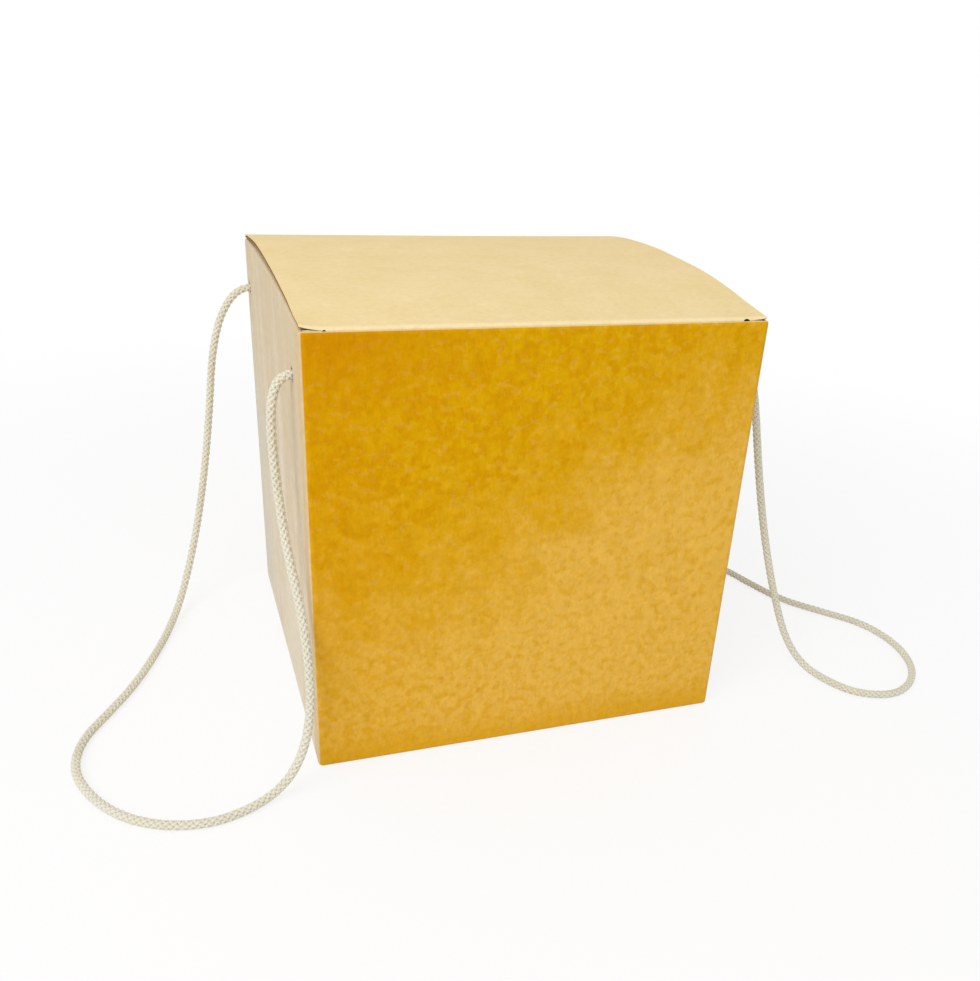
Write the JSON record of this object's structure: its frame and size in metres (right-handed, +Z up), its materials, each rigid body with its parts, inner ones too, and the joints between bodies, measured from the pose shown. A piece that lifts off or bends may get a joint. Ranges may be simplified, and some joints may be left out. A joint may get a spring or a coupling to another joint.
{
  "type": "panettone box",
  "caption": "Kraft card cake box with slightly tapered walls, an arched lid hinged at the rear that tucks in at the front, and braided rope handles knotted through the side walls.",
  "frame": {"origin": "on the ground under the middle of the box", "axes": "+Z up, -Y towards the front wall that the lid tucks in behind, the rope handles on the -X and +X walls"},
  "size_m": [0.4306, 0.2258, 0.2053],
  "materials": {
    "kraft_board": "natural kraft",
    "cotton_rope": "braided cotton"
  },
  "bodies": {
    "carton": {"carton_body": "kraft_board", "left_rope": "cotton_rope", "right_rope": "cotton_rope", "left_front_knot": "cotton_rope", "left_rear_knot": "cotton_rope", "right_front_knot": "cotton_rope", "right_rear_knot": "cotton_rope"},
    "lid": {"lid": "kraft_board"}
  },
  "joints": [
    {"name": "lid_hinge", "type": "hinge", "parent": "carton", "child": "lid", "pos_m": [0, 0.09925, 0.19815], "axis": [-1, 0, 0], "range_deg": [0, 180]}
  ]
}
